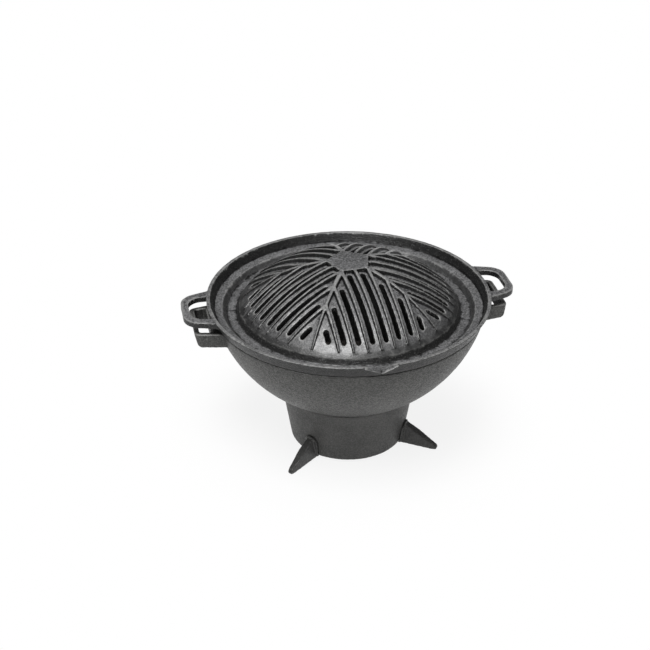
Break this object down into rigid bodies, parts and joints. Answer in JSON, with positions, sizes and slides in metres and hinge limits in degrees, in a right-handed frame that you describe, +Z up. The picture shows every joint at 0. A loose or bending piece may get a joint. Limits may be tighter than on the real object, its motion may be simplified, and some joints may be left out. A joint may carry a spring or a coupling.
{
  "type": "charcoal table brazier",
  "caption": "Cast-iron charcoal table brazier: a slotted dome grill plate with a fat gutter and spout, on a round fire bowl with loop handles, an ash pot and splayed legs.",
  "frame": {"origin": "on the table, under the axis of the fire bowl", "axes": "+Z up along the bowl's axis, X through the handles, the pour spout towards -Y"},
  "size_m": [0.3286, 0.2825, 0.1988],
  "materials": {
    "plate_iron": "bare sand-cast iron, matt black",
    "bowl_iron": "bare sand-cast iron, matt black",
    "grate_iron": "bare sand-cast iron, matt black",
    "pot_iron": "bare sand-cast iron, matt black",
    "leg_iron": "bare sand-cast iron, matt black",
    "fastener_steel": "plain zinc-plated steel, dulled"
  },
  "bodies": {
    "base": {"fire_bowl": "bowl_iron", "ash_pot": "pot_iron", "leg_left": "leg_iron", "leg_right": "leg_iron", "leg_back": "leg_iron", "bowl_screws": "fastener_steel", "bowl_washers": "fastener_steel", "bowl_nuts": "fastener_steel", "leg_screws": "fastener_steel", "leg_washers": "fastener_steel"},
    "plate": {"grill_plate": "plate_iron"},
    "grate": {"charcoal_grate": "grate_iron"}
  },
  "joints": [
    {"name": "plate_lift", "type": "slide", "parent": "base", "child": "plate", "axis": [0, 0, 1], "range_m": [0, 0.12]},
    {"name": "grate_lift", "type": "slide", "parent": "base", "child": "grate", "axis": [0, 0, 1], "range_m": [0, 0.06]}
  ]
}
